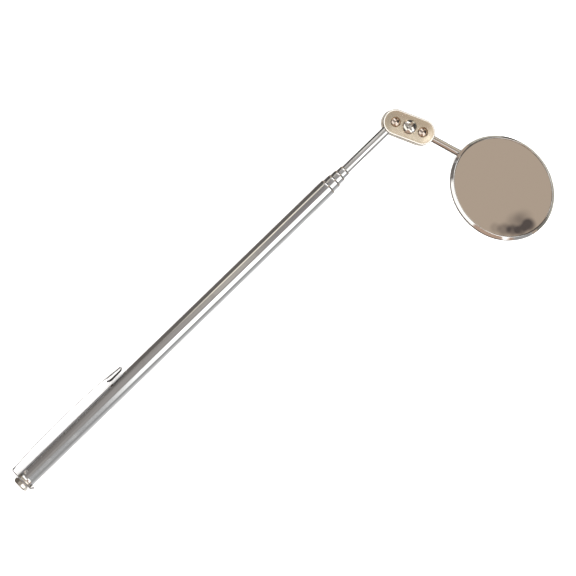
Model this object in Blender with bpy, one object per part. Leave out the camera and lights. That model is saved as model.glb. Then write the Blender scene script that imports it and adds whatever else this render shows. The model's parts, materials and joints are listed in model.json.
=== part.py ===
"""Telescoping inspection mirror, lying on a table: +X runs from the hex end towards the mirror, +Z is up.

Lengths below are in millimetres in the tool's own frame, where the tubes' axis is X and the outer tube's rear
end is at zero. The tool lies on its outer tube and on the low edge of the mirror cup.
"""

from math import atan2, cos, hypot, pi, radians, sin, sqrt

import bmesh
import bpy
from mathutils import Matrix, Vector

MM = 0.001

# tubes: front end, rear end, outer radius of each stage, from the outside in
TUBE_WALL = 0.3
STEP = 0.5
OUTER_RADIUS = 4.15
OUTER_LENGTH = 198.2
FRONT_ENDS = (198.2, 202.4, 206.0, 209.4)
REAR_ENDS = (0.03, 8.5, 15.5, 22.5, 29.5)
LIP_CLEARANCE = 0.065
LIP_LENGTH = 1.2
NECK_DEPTH = 0.35
NECK_LENGTH = 5.6
END_RIM = 0.8
BUSH_LENGTH = 4.5
BUSH_CLEARANCE = 0.05
ROD_RADIUS = 2.15

# rear end: plug, crimps, clip foot and hex screw
PLUG_LENGTH = 8.0
FLANGE = 1.0
CRIMP_AT = 2.85
SCREW_RADIUS = 1.45
HEX_ACROSS_FLATS = 6.88
HEX_HEIGHT = 2.6

# pocket clip
CLIP_SHEET = 0.45
CLIP_FOOT_X = -1.275
CLIP_WIDTH_REAR = 5.2
CLIP_WIDTH_TIP = 4.2

# swivel
BALL_RADIUS = 3.5
ROD_BALL_X = 242.3
BALL_SPACING = 13.95
PLATE_ANGLE = radians(-63.9)
PLATE_END_RADIUS = 6.2
PLATE_LENGTH = 26.0
PLATE_SHEET = 0.8
PLATE_INNER = 2.55
BALL_HOLE = 2.45
PIN_RADIUS = 1.2
PAN_RADIUS = 3.5
PAN_HEIGHT = 2.2

# mirror head, in a frame whose X is the stem's axis and whose Z is the mirror's normal
STEM_ANGLE = radians(-71.9)
MIRROR_LEAN = radians(19.78)
STEM_RADIUS = 1.6
CUP_RADIUS = 26.5
CUP_HEIGHT = 2.8
CUP_SHEET = 0.45
CUP_BACK = 2.34
CUP_ALONG = 45.9
CUP_ASIDE = -7.0
GLASS_RADIUS = 25.9
GLASS_BACK = 0.93
GLASS_FACE = 2.37
RIVETS_AT = (30.0, 37.0)


def clear_scene():
    for obj in list(bpy.data.objects):
        bpy.data.objects.remove(obj, do_unlink=True)


def material(name, colour, metallic, roughness):
    made = bpy.data.materials.new(name)
    made.use_nodes = True
    shader = made.node_tree.nodes["Principled BSDF"]
    shader.inputs["Base Color"].default_value = (*colour, 1.0)
    shader.inputs["Metallic"].default_value = metallic
    shader.inputs["Roughness"].default_value = roughness
    made.diffuse_color = (*colour, 1.0)
    return made


def empty(name, parent=None, at=(0, 0, 0), turn=None):
    made = bpy.data.objects.new(name, None)
    bpy.context.collection.objects.link(made)
    made.parent = parent
    made.empty_display_size = 0.005
    made.matrix_basis = Matrix.Translation(Vector(at) * MM) @ (turn or Matrix.Identity(4))
    return made


def add(name, points, faces, parent, finish=None, smooth=False):
    """A mesh object from points in millimetres, with its faces turned outwards."""
    mesh = bpy.data.meshes.new(name)
    mesh.from_pydata([[c * MM for c in p] for p in points], [], faces)
    work = bmesh.new()
    work.from_mesh(mesh)
    bmesh.ops.recalc_face_normals(work, faces=work.faces)
    work.to_mesh(mesh)
    work.free()
    made = bpy.data.objects.new(name, mesh)
    bpy.context.collection.objects.link(made)
    made.parent = parent
    if finish:
        mesh.materials.append(material(name, *finish))
    return made


def on_axis(axis, along, across, upward):
    """The point at this distance along the axis of revolution, with the two distances across it."""
    return {"X": (along, across, upward), "Y": (across, along, upward), "Z": (across, upward, along)}[axis]


def revolved(profile, axis="X", segments=40, slit=0.0):
    """Points and faces of a profile of (along, radius) turned about an axis. With a slit, in radians, it is open."""
    open_chain = profile[0][1] == 0.0
    count = segments + (1 if slit else 0)
    points, rows = [], []
    for along, radius in profile:
        if radius == 0.0:
            rows.append([len(points)] * count)
            points.append(on_axis(axis, along, 0.0, 0.0))
            continue
        rows.append(list(range(len(points), len(points) + count)))
        for i in range(count):
            angle = slit / 2 + (2 * pi - slit) * i / segments
            points.append(on_axis(axis, along, radius * cos(angle), radius * sin(angle)))
    pairs = list(zip(rows, rows[1:])) + ([] if open_chain else [(rows[-1], rows[0])])
    faces = []
    for low, high in pairs:
        for i in range(segments):
            j = i + 1 if slit else (i + 1) % segments
            corners = [low[i], low[j], high[j], high[i]]
            face = [c for k, c in enumerate(corners) if c != corners[k - 1]]
            if len(face) > 2:
                faces.append(face)
    if slit:
        faces += [[row[0] for row in rows], [row[-1] for row in rows]]
    return points, faces


def moved(shape, by):
    points, faces = shape
    return [tuple(Vector(p) + Vector(by)) for p in points], faces


def joined(shapes):
    points, faces = [], []
    for more_points, more_faces in shapes:
        first = len(points)
        points += more_points
        faces += [[first + i for i in face] for face in more_faces]
    return points, faces


def lofted(rings):
    """Points and faces of a solid through rings of equal length, with both ends capped."""
    size = len(rings[0])
    points = [p for ring in rings for p in ring]
    faces = [list(range(size)), list(range(len(points) - size, len(points)))]
    for k in range(len(rings) - 1):
        for i in range(size):
            j = (i + 1) % size
            low, high = k * size, (k + 1) * size
            faces.append([low + i, low + j, high + j, high + i])
    return points, faces


def boolean(target, shape, operation="DIFFERENCE", parent=None):
    """Cuts a shape from a piece, or joins it on. The helper mesh stays hidden."""
    helper = add(f"{target.name}_{operation.lower()}_{len(target.modifiers)}", *shape, parent or target.parent)
    if not parent:
        helper.matrix_basis = target.matrix_basis
    helper.hide_render = True
    helper.display_type = "WIRE"
    change = target.modifiers.new(helper.name, "BOOLEAN")
    change.operation = operation
    change.solver = "EXACT"
    change.object = helper


def cylinder(radius, start, end, axis="Z", segments=32):
    return revolved([(start, 0.0), (start, radius), (end, radius), (end, 0.0)], axis, segments)


def ball_profile(radius, centre=0.0, steps=10):
    inner = [(centre - radius * cos(pi * i / steps), radius * sin(pi * i / steps)) for i in range(1, steps)]
    return [(centre - radius, 0.0), *inner, (centre + radius, 0.0)]


# ---------------------------------------------------------------- finishes

CHROME = ((0.80, 0.80, 0.81), 1.0, 0.10)
PLATED_STEEL = ((0.74, 0.74, 0.75), 1.0, 0.16)
SPRING_STEEL = ((0.66, 0.67, 0.69), 1.0, 0.20)
BRASS = ((0.78, 0.60, 0.32), 1.0, 0.25)
BALL_STEEL = ((0.70, 0.70, 0.71), 1.0, 0.12)
SILVERED_GLASS = ((0.90, 0.90, 0.88), 1.0, 0.02)
FIBRE_PAD = ((0.16, 0.13, 0.11), 0.0, 0.9)


# ---------------------------------------------------------------- handle


def rolled_front(front, outer, bore, lip):
    """The profile round the front end of a tube, whose wall is rolled in to a lip."""
    return [
        (front - 0.75, outer),
        (front - 0.35, outer - 0.06),
        (front - 0.10, outer - 0.18),
        (front, outer - 0.32),
        (front, lip + 0.03),
        (front - 0.05, lip),
        (front - LIP_LENGTH, lip),
        (front - LIP_LENGTH - 0.35, bore),
    ]


def crimp(angle, radius, cap=None):
    """One crimp's sphere, or the cap of it that bulges into the bore, at an angle round the tube."""
    centre = OUTER_RADIUS + 1.3
    if cap:
        reach = (centre - cap) / radius
        steps = [sqrt(1 - reach * reach) * k / 5 for k in (1, 2, 3, 4, 5)]
        profile = [(centre - radius, 0.0)]
        profile += [(centre - radius * sqrt(1 - s * s), radius * s) for s in steps]
        profile += [(cap, 0.0)]
    else:
        profile = ball_profile(radius, centre, 8)
    points, faces = revolved(profile, "Z", 14)
    turn = Matrix.Rotation(angle, 4, "X")
    return moved(([tuple(turn @ Vector(p)) for p in points], faces), (CRIMP_AT, 0, 0))


def build_outer_tube(parent):
    bore = OUTER_RADIUS - TUBE_WALL
    lip = OUTER_RADIUS - STEP + LIP_CLEARANCE
    rear = REAR_ENDS[0]
    profile = [(rear, bore + 0.05), (rear, OUTER_RADIUS - 0.12), (rear + 0.12, OUTER_RADIUS)]
    profile += rolled_front(OUTER_LENGTH, OUTER_RADIUS, bore, lip)
    profile += [(rear + 0.05, bore)]
    tube = add("outer_tube", *revolved(profile, segments=40), parent, CHROME)
    thirds = [radians(75 + 120 * k) for k in range(3)]
    boolean(tube, joined([crimp(a, 1.9, OUTER_RADIUS - 0.25) for a in thirds]), "UNION")
    boolean(tube, joined([crimp(a, 1.6) for a in thirds]))


def build_end_plug(parent):
    body = OUTER_RADIUS - TUBE_WALL - 0.05
    hole = SCREW_RADIUS + 0.05
    profile = [
        (-FLANGE, hole + 0.25),
        (-FLANGE, OUTER_RADIUS - 0.15),
        (-FLANGE + 0.15, OUTER_RADIUS),
        (-0.1, OUTER_RADIUS),
        (0.0, OUTER_RADIUS - 0.1),
        (0.0, body),
        (CRIMP_AT - 1.4, body),
        (CRIMP_AT - 1.2, body - 0.45),
        (CRIMP_AT + 1.2, body - 0.45),
        (CRIMP_AT + 1.4, body),
        (PLUG_LENGTH - 0.4, body),
        (PLUG_LENGTH, body - 0.4),
        (PLUG_LENGTH, hole),
        (-FLANGE + 0.25, hole),
    ]
    add("end_plug", *revolved(profile, segments=32), parent, PLATED_STEEL)


def build_end_screw(parent):
    """A hex head with a flat up, its rear end chamfered, on a washer face, and its shank in the plug."""
    head_front = CLIP_FOOT_X - CLIP_SHEET / 2 - 0.05
    head_back = head_front - HEX_HEIGHT
    flats = HEX_ACROSS_FLATS / 2
    corner = flats / cos(pi / 6)
    rings = []
    for along, limit in (
        (head_back, flats - 0.5),
        (head_back + 0.7, corner),
        (head_front - 0.55, corner),
        (head_front - 0.4, flats - 0.15),
        (head_front, flats - 0.15),
    ):
        ring = []
        for i in range(48):
            angle = 2 * pi * i / 48
            side = flats / cos((angle + pi / 6) % (pi / 3) - pi / 6)
            radius = min(side, limit)
            ring.append((along, radius * sin(angle), radius * cos(angle)))
        rings.append(ring)
    head = add("end_screw", *lofted(rings), parent, PLATED_STEEL)
    shank = [(head_front - 0.5, 0.0), (head_front - 0.5, SCREW_RADIUS), (6.4, SCREW_RADIUS), (6.8, 1.1), (6.8, 0.0)]
    boolean(head, revolved(shank, segments=32), "UNION")


def clip_line():
    """The middle line of the clip's sheet as (x, y), from the small tab over the foot to the folded tip."""
    line = [(0.35, -5.4), (-0.3, -4.98), (-0.88, -4.6), (-1.2, -4.25)]
    line += [(CLIP_FOOT_X, y) for y in (-3.8, -2.2, 0.0, 2.2, 4.6, 6.9)]
    bend = 0.7
    for k in (1, 2, 3, 4):
        angle = radians(22.5 * k)
        line.append((CLIP_FOOT_X + bend * (1 - cos(angle)), 6.9 + bend * sin(angle)))
    line += [(1.2, 7.64), (4.0, 7.80), (10.0, 8.20), (16.0, 8.50), (22.0, 8.70), (28.0, 8.84), (34.0, 8.81)]
    line += [(40.0, 8.68), (46.0, 8.52), (52.0, 8.33), (55.0, 8.18), (58.0, 7.92), (61.0, 7.60), (64.0, 7.35)]
    line.append((66.5, 7.13))
    for k in range(8):
        angle = radians(83 - 143 * k / 7)
        line.append((67.72 + 0.42 * cos(angle), 6.58 + 0.42 * sin(angle)))
    line += [(67.2, 5.95), (66.5, 5.83), (63.0, 5.80), (60.6, 5.82), (59.9, 5.98), (59.3, 6.30), (58.85, 6.65)]
    return line


def build_clip(parent):
    line = clip_line()
    length = [0.0]
    for a, b in zip(line, line[1:]):
        length.append(length[-1] + hypot(b[0] - a[0], b[1] - a[1]))
    rings = []
    for k, (x, y) in enumerate(line):
        before, after = line[max(k - 1, 0)], line[min(k + 1, len(line) - 1)]
        heading = atan2(after[1] - before[1], after[0] - before[0])
        share = min(max((length[k] - 12.0) / 72.0, 0.0), 1.0)
        half = (CLIP_WIDTH_REAR + (CLIP_WIDTH_TIP - CLIP_WIDTH_REAR) * share) / 2
        if k in (0, len(line) - 1):
            half -= 0.5
        nx, ny = -sin(heading) * CLIP_SHEET / 2, cos(heading) * CLIP_SHEET / 2
        ring = []
        for side, edge in ((1, half), (1, -half), (-1, -half), (-1, half)):
            ring.append((x + side * nx, y + side * ny, edge))
        rings.append(ring)
    clip = add("pocket_clip", *lofted(rings), parent, SPRING_STEEL)
    boolean(clip, cylinder(SCREW_RADIUS + 0.12, CLIP_FOOT_X - 1, CLIP_FOOT_X + 1, "X"))


# ---------------------------------------------------------------- telescoping stages


def necked_rear(rear, outer, neck):
    """The profile round a stage's rear end: an end rim, then the neck that the bush sits on."""
    return [
        (rear, outer - 0.08),
        (rear + 0.08, outer),
        (rear + END_RIM, outer),
        (rear + END_RIM + 0.02, neck),
        (rear + NECK_LENGTH, neck),
        (rear + NECK_LENGTH + 0.5, outer),
    ]


def build_section(name, stage, parent):
    outer = OUTER_RADIUS - STEP * stage
    bore = outer - TUBE_WALL
    neck = outer - NECK_DEPTH
    lip = outer - STEP + LIP_CLEARANCE
    front = FRONT_ENDS[stage] - REAR_ENDS[stage]
    profile = necked_rear(0.0, outer, neck) + rolled_front(front, outer, bore, lip)
    profile += [(NECK_LENGTH + 0.9, bore), (NECK_LENGTH + 0.5, neck - TUBE_WALL), (0.0, neck - TUBE_WALL)]
    add(name, *revolved(profile, segments=32), parent, CHROME)


def build_rod(parent):
    front = ROD_BALL_X - 3.05 - REAR_ENDS[4]
    profile = [(0.0, 0.0)] + necked_rear(0.0, ROD_RADIUS, ROD_RADIUS - NECK_DEPTH - 0.05)
    profile += [(front - 0.15, ROD_RADIUS), (front, ROD_RADIUS - 0.15), (front, PIN_RADIUS)]
    profile += [(front + 3.8, PIN_RADIUS), (front + 3.95, PIN_RADIUS - 0.15), (front + 3.95, 0.0)]
    add("inner_rod", *revolved(profile, segments=32), parent, CHROME)


def build_bush(name, stage, parent):
    """A split ring that grips the bore outside it and holds the stage inside it by its neck."""
    outer = OUTER_RADIUS - STEP * (stage - 1) - TUBE_WALL - BUSH_CLEARANCE
    neck = OUTER_RADIUS - STEP * stage - NECK_DEPTH - (0.05 if stage == 4 else 0.0)
    inner = neck + BUSH_CLEARANCE
    start = END_RIM + 0.08
    end = start + BUSH_LENGTH
    profile = [
        (start, inner),
        (start, outer - 0.1),
        (start + 0.15, outer),
        (end - 0.15, outer),
        (end, outer - 0.1),
        (end, inner),
    ]
    add(name, *revolved(profile, segments=24, slit=radians(16)), parent, BRASS)


# ---------------------------------------------------------------- swivel


def build_ball(name, parent, towards):
    """A ball bored for a pin. The bore opens on the side given by towards, 1 or -1 along X."""
    flat = 3.0
    start = atan2(sqrt(BALL_RADIUS**2 - flat**2), flat)
    profile = [(-1.1, 0.0), (-1.1, PIN_RADIUS + 0.05), (flat, PIN_RADIUS + 0.05)]
    for k in range(11):
        angle = start + (pi - start) * k / 11
        profile.append((BALL_RADIUS * cos(angle), BALL_RADIUS * sin(angle)))
    profile.append((-BALL_RADIUS, 0.0))
    add(name, *revolved([(towards * a, r) for a, r in profile], segments=28), parent, BALL_STEEL)


def stadium(radius, height, arc=16):
    straight = PLATE_LENGTH / 2 - PLATE_END_RADIUS
    ring = []
    for end, turn in ((1, -pi / 2), (-1, pi / 2)):
        for k in range(arc + 1):
            angle = turn + pi * k / arc
            ring.append((BALL_SPACING / 2 + end * straight + radius * cos(angle), radius * sin(angle), height))
    return ring


def build_plate(name, side, parent):
    """A stadium plate above, side 1, or below, side -1, the balls, with its outer edge rounded off."""
    inner, outer = PLATE_INNER, PLATE_INNER + PLATE_SHEET
    steps = (
        (PLATE_END_RADIUS - 0.08, inner),
        (PLATE_END_RADIUS, inner + 0.08),
        (PLATE_END_RADIUS, outer - 0.42),
        (PLATE_END_RADIUS - 0.14, outer - 0.16),
        (PLATE_END_RADIUS - 0.42, outer),
    )
    rings = [stadium(radius, side * height) for radius, height in steps]
    plate = add(name, *lofted(rings), parent, PLATED_STEEL)
    middle = (BALL_SPACING / 2, 0, 0)
    if side < 0:
        boss = revolved([(-inner - 0.4, 0.0), (-inner - 0.4, 2.7), (-1.0, 2.45), (-1.0, 0.0)], "Z", 32)
        boolean(plate, moved(boss, middle), "UNION")
    for at in (0.0, BALL_SPACING):
        boolean(plate, moved(cylinder(BALL_HOLE, -6, 6, segments=40), (at, 0, 0)))
    screw_hole = SCREW_RADIUS + (0.25 if side > 0 else 0.05)
    boolean(plate, moved(cylinder(screw_hole, -6, 6), middle))


def cross_arm(turn):
    """One tapered arm of the screw's cross recess."""
    rings = []
    for half, width, height in ((2.0, 0.42, PAN_HEIGHT + 0.3), (1.0, 0.26, PAN_HEIGHT - 1.25)):
        ring = [(half, width, height), (-half, width, height), (-half, -width, height), (half, -width, height)]
        rings.append([tuple(Matrix.Rotation(turn, 4, "Z") @ Vector(p)) for p in ring])
    return lofted(rings)


def build_tension_screw(parent):
    tip = -2 * (PLATE_INNER + PLATE_SHEET) + 0.1
    profile = [
        (tip, 0.0),
        (tip, SCREW_RADIUS - 0.25),
        (tip + 0.25, SCREW_RADIUS),
        (0.0, SCREW_RADIUS),
        (0.0, PAN_RADIUS - 0.1),
        (0.1, PAN_RADIUS),
        (0.6, PAN_RADIUS),
        (1.15, PAN_RADIUS - 0.22),
        (1.62, PAN_RADIUS - 0.75),
        (1.98, PAN_RADIUS - 1.55),
        (PAN_HEIGHT, PAN_RADIUS - 2.5),
        (PAN_HEIGHT, 0.0),
    ]
    screw = add("tension_screw", *revolved(profile, "Z", 32), parent, PLATED_STEEL)
    for turn in (radians(38), radians(128)):
        boolean(screw, cross_arm(turn))


# ---------------------------------------------------------------- mirror head


def rounded(x, half_width, half_height, corner, height):
    """A ring of 28 points round a rounded rectangle that stands across the stem at x."""
    ring = []
    for across, up, turn in ((1, 1, 0), (-1, 1, 1), (-1, -1, 2), (1, -1, 3)):
        for k in range(7):
            angle = pi / 2 * turn + pi / 12 * k
            y = across * (half_width - corner) + corner * cos(angle)
            ring.append((x, y, height + up * (half_height - corner) + corner * sin(angle)))
    return ring


def build_stem(parent):
    """A round stem whose far end is flattened, raised and riveted to the back of the cup."""
    rings = [rounded(-0.9, r, r, r * 0.96, 0.0) for r in (PIN_RADIUS - 0.15,)]
    rings += [rounded(x, PIN_RADIUS, PIN_RADIUS, PIN_RADIUS * 0.96, 0.0) for x in (-0.75, 3.05)]
    rings += [rounded(3.06, STEM_RADIUS - 0.15, STEM_RADIUS - 0.15, 1.39, 0.0)]
    rings += [rounded(x, STEM_RADIUS, STEM_RADIUS, STEM_RADIUS * 0.96, 0.0) for x in (3.2, 21.5)]
    raised = CUP_BACK - 0.65
    rings += [rounded(23.2, 2.15, 1.2, 1.1, 0.34 * raised), rounded(24.8, 2.75, 0.8, 0.7, 0.78 * raised)]
    rings += [rounded(x, 3.1, 0.6, 0.4, raised) for x in (26.4, 38.6)]
    rings += [rounded(x, half, 0.6, 0.4, raised) for x, half in ((39.9, 2.75), (40.8, 2.0), (41.3, 1.1))]
    stem = add("mirror_stem", *lofted(rings), parent, CHROME)
    boolean(stem, joined([moved(cylinder(1.1, -2, 4, segments=16), (x, 0, 0)) for x in RIVETS_AT]))


def build_rivet(name, x, parent):
    """A rivet with a domed head behind the stem and a flat one inside the cup."""
    under = -1.3
    profile = [
        (under - 0.85, 0.0),
        (under - 0.78, 0.7),
        (under - 0.5, 1.35),
        (under - 0.1, 1.75),
        (under, 1.75),
        (under, 1.0),
        (CUP_SHEET + 0.05, 1.0),
        (CUP_SHEET + 0.05, 1.8),
        (CUP_SHEET + 0.4, 1.6),
        (CUP_SHEET + 0.4, 0.0),
    ]
    add(name, *moved(revolved(profile, "Z", 16), (x, 0, CUP_BACK)), parent, PLATED_STEEL)


def build_cup(parent):
    """A drawn cup whose wall is rolled over the edge of the glass."""
    centre = (CUP_ALONG, CUP_ASIDE, CUP_BACK)
    profile = [
        (0.0, 0.0),
        (0.0, CUP_RADIUS - 0.85),
        (0.12, CUP_RADIUS - 0.4),
        (0.4, CUP_RADIUS - 0.1),
        (0.85, CUP_RADIUS),
        (CUP_HEIGHT - 0.7, CUP_RADIUS),
        (CUP_HEIGHT - 0.3, CUP_RADIUS - 0.12),
        (CUP_HEIGHT - 0.08, CUP_RADIUS - 0.42),
        (CUP_HEIGHT, CUP_RADIUS - 0.8),
        (CUP_HEIGHT - 0.06, CUP_RADIUS - 1.25),
        (CUP_HEIGHT - 0.2, CUP_RADIUS - 1.38),
        (CUP_HEIGHT - 0.36, CUP_RADIUS - 1.2),
        (CUP_HEIGHT - 0.39, CUP_RADIUS - 0.7),
        (CUP_HEIGHT - 0.7, CUP_RADIUS - CUP_SHEET),
        (0.9, CUP_RADIUS - CUP_SHEET),
        (CUP_SHEET, CUP_RADIUS - 0.9),
        (CUP_SHEET, 0.0),
    ]
    cup = add("mirror_cup", *moved(revolved(profile, "Z", 64), centre), parent, CHROME)
    boolean(cup, joined([moved(cylinder(1.1, 0, 4, segments=16), (x, 0, 0)) for x in RIVETS_AT]))


def build_glass(parent):
    centre = (CUP_ALONG, CUP_ASIDE, CUP_BACK)
    profile = [
        (GLASS_BACK, 0.0),
        (GLASS_BACK, GLASS_RADIUS - 0.2),
        (GLASS_BACK + 0.2, GLASS_RADIUS),
        (GLASS_FACE - 0.45, GLASS_RADIUS),
        (GLASS_FACE, GLASS_RADIUS - 1.05),
        (GLASS_FACE, 0.0),
    ]
    add("mirror_glass", *moved(revolved(profile, "Z", 64), centre), parent, SILVERED_GLASS)


def build_pad(parent):
    """A thin pad behind the glass, cut out round the rivets' inner heads."""
    centre = (CUP_ALONG, CUP_ASIDE, CUP_BACK)
    shape = moved(cylinder(GLASS_RADIUS - 1.0, CUP_SHEET + 0.03, GLASS_BACK - 0.03, segments=40), centre)
    pad = add("backing_pad", *shape, parent, FIBRE_PAD)
    boolean(pad, joined([moved(cylinder(2.4, 0, 6, segments=16), (x, 0, 0)) for x in RIVETS_AT]))


def rest_on_table(tool):
    """Moves the whole tool so that its box stands on z = 0 with its middle over the origin."""
    bpy.context.view_layer.update()
    graph = bpy.context.evaluated_depsgraph_get()
    corners = []
    for obj in bpy.data.objects:
        if obj.type == "MESH" and not obj.hide_render:
            shape = obj.evaluated_get(graph)
            corners += [shape.matrix_world @ vertex.co for vertex in shape.data.vertices]
    low = [min(c[i] for c in corners) for i in range(3)]
    high = [max(c[i] for c in corners) for i in range(3)]
    tool.location -= Vector(((low[0] + high[0]) / 2, (low[1] + high[1]) / 2, low[2]))


def main():
    clear_scene()
    tool = empty("tool")
    build_outer_tube(tool)
    build_end_plug(tool)
    build_end_screw(tool)
    build_clip(tool)

    holder = tool
    stages = ("second_tube", "third_tube", "fourth_tube", "inner_rod")
    for stage, name in enumerate(stages, 1):
        travel = REAR_ENDS[stage] - (REAR_ENDS[stage - 1] if stage > 1 else 0.0)
        slide = empty(f"{name}_slide", holder, (travel, 0, 0))
        build_bush(f"{name}_bush", stage, slide)
        holder = empty(f"{name}_spin", slide)
        if stage < 4:
            build_section(name, stage, holder)
    build_rod(holder)

    rod_ball_spin = empty("rod_ball_spin", holder, (ROD_BALL_X - REAR_ENDS[4], 0, 0))
    build_ball("rod_ball", rod_ball_spin, -1)
    swivel = empty("swivel_swing", rod_ball_spin, turn=Matrix.Rotation(PLATE_ANGLE, 4, "Z"))
    build_plate("front_plate", 1, swivel)
    build_plate("back_plate", -1, swivel)
    screw_seat = empty("screw_seat", swivel, (BALL_SPACING / 2, 0, PLATE_INNER + PLATE_SHEET + 0.03))
    build_tension_screw(screw_seat)

    turn = Matrix.Rotation(STEM_ANGLE - PLATE_ANGLE, 4, "Z")
    stem_ball_swing = empty("stem_ball_swing", swivel, (BALL_SPACING, 0, 0), turn)
    build_ball("stem_ball", stem_ball_swing, 1)
    head = empty("mirror_head_spin", stem_ball_swing, turn=Matrix.Rotation(-MIRROR_LEAN, 4, "X"))
    build_stem(head)
    build_cup(head)
    build_glass(head)
    build_pad(head)
    for name, x in zip(("near_stem_rivet", "far_stem_rivet"), RIVETS_AT):
        build_rivet(name, x, head)
    rest_on_table(tool)


main()
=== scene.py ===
"""The looks of a telescoping inspection mirror: plated tubes, a double-ball swivel and a round glass in its cup.

Shapes are in millimetres in a frame of their own: the tubes' frame has its zero at the outer tube's rear end,
the swivel's at the rod ball, and the mirror head's at the stem ball with the mirror's normal as Z.
"""

import json
from math import atan2, cos, degrees, hypot, pi, radians, sin, sqrt

import bmesh
import bpy
from mathutils import Matrix, Vector


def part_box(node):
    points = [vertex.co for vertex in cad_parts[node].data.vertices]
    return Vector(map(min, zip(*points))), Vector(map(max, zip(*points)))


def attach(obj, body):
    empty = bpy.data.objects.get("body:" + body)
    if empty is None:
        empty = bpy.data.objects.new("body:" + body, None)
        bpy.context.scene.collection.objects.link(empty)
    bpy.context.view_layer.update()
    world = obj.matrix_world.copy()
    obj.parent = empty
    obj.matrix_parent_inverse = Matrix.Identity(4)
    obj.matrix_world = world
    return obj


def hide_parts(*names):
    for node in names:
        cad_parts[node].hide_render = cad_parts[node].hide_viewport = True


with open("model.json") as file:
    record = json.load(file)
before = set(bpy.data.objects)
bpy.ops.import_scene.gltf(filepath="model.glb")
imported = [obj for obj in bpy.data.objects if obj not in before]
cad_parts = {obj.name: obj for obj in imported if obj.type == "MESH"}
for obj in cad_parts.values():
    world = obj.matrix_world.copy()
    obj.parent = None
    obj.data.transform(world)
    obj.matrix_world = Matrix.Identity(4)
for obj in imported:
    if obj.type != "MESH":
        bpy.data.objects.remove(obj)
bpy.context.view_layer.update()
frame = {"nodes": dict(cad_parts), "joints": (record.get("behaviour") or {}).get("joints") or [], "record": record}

MM = 0.001
joints = {joint["name"]: joint for joint in frame["joints"]}
mounts = {mount["name"]: mount for mount in frame["record"]["mounts"]}

# ---------------------------------------------------------------- places, read from the frame

tube_low, tube_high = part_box("outer_tube")
rod_ball_at = Vector(joints["swivel_swing"]["pos_m"])
stem_ball_at = Vector(joints["stem_ball_swing"]["pos_m"])
stem_axis = Vector(joints["mirror_spin"]["axis"]).normalized()
mirror_normal = Vector(mounts["mirror_face"]["axis"]).normalized()
glass_middle = Vector(mounts["mirror_face"]["pos_m"])


def frame_of(origin, along, normal):
    """The matrix of a frame whose X runs along a direction and whose Z is the normal."""
    across = normal.cross(along).normalized()
    turn = Matrix((along, across, normal)).transposed().to_4x4()
    return Matrix.Translation(origin) @ turn


UP = Vector((0, 0, 1))
AXIS_Z = (tube_low.z + tube_high.z) / 2
tube_rear = Vector((tube_low.x - 0.03 * MM, (tube_low.y + tube_high.y) / 2, AXIS_Z))
tubes_frame = Matrix.Translation(tube_rear)
swivel_frame = frame_of(rod_ball_at, (stem_ball_at - rod_ball_at).normalized(), UP)
stem_ball_frame = frame_of(stem_ball_at, stem_axis, UP)
head_frame = frame_of(stem_ball_at, stem_axis, mirror_normal)

# ---------------------------------------------------------------- driving sizes, in millimetres

TUBE_WALL = 0.3
STEP = 0.5
LIP_CLEARANCE = 0.065
LIP_LENGTH = 1.2
NECK_DEPTH = 0.35
NECK_LENGTH = 5.6
END_RIM = 0.8
OUTER_RADIUS = (tube_high.z - tube_low.z) / 2 / MM
FRONT_ENDS = (198.2, 202.4, 206.0, 209.4)
REAR_ENDS = (0.03, 8.5, 15.5, 22.5, 29.5)
OUTER_TUBE_ROWS = (60.0, 125.0)
ROD_RADIUS = 2.15
ROD_BALL_X = (rod_ball_at.x - tube_rear.x) / MM

FLANGE = 1.0
PLUG_LENGTH = 8.0
CRIMP_COUNT = 3
CRIMP_AT = 2.85
CRIMP_REACH = 0.98
CRIMP_DEPTH = 0.3
CRIMP_SHOULDER = 0.05
CRIMP_ANGLE = radians(45)
SCREW_RADIUS = 1.45
HEX_FLATS = 6.88 / 2
HEX_HEIGHT = 2.6

CLIP_SHEET = 0.45
CLIP_FOOT_X = -1.275
CLIP_WIDTH_REAR = 5.2
CLIP_WIDTH_TIP = 4.2
CLIP_CORNER = 0.9
CLIP_HOLE = 1.57

BALL_RADIUS = 3.5
BALL_FLAT = 3.0
BALL_SPACING = (stem_ball_at - rod_ball_at).length / MM
PLATE_END_RADIUS = 6.2
PLATE_LENGTH = 26.0
PLATE_SHEET = 0.8
PLATE_INNER = 2.55
PLATE_CROWN = 0.16
PLATE_FLAT_RADIUS = 5.1
BALL_HOLE = 2.45
PIN_RADIUS = 1.2
PAN_RADIUS = 3.5
PAN_HEIGHT = 2.2
RECESS_TURN = radians(38)

STEM_RADIUS = 1.6
STEM_SPREADS_AT = 21.0
TONGUE_FROM = 26.4
TONGUE_TO = 38.4
TONGUE_HALF = 3.1
TONGUE_THICK = 0.6
CUP_RADIUS = 26.5
CUP_HEIGHT = 2.8
CUP_SHEET = 0.45
CUP_BACK = 2.34
CUP_ALONG = 45.9
CUP_ASIDE = -7.0
GLASS_RADIUS = 25.9
GLASS_BACK = 0.93
GLASS_FACE = 2.37
RIVETS_AT = (30.0, 37.0)
RIVET_HOLE = 1.1
RIVET_SHANK = 1.0
RIVET_HEAD = 1.75

# ---------------------------------------------------------------- shader expressions


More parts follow.
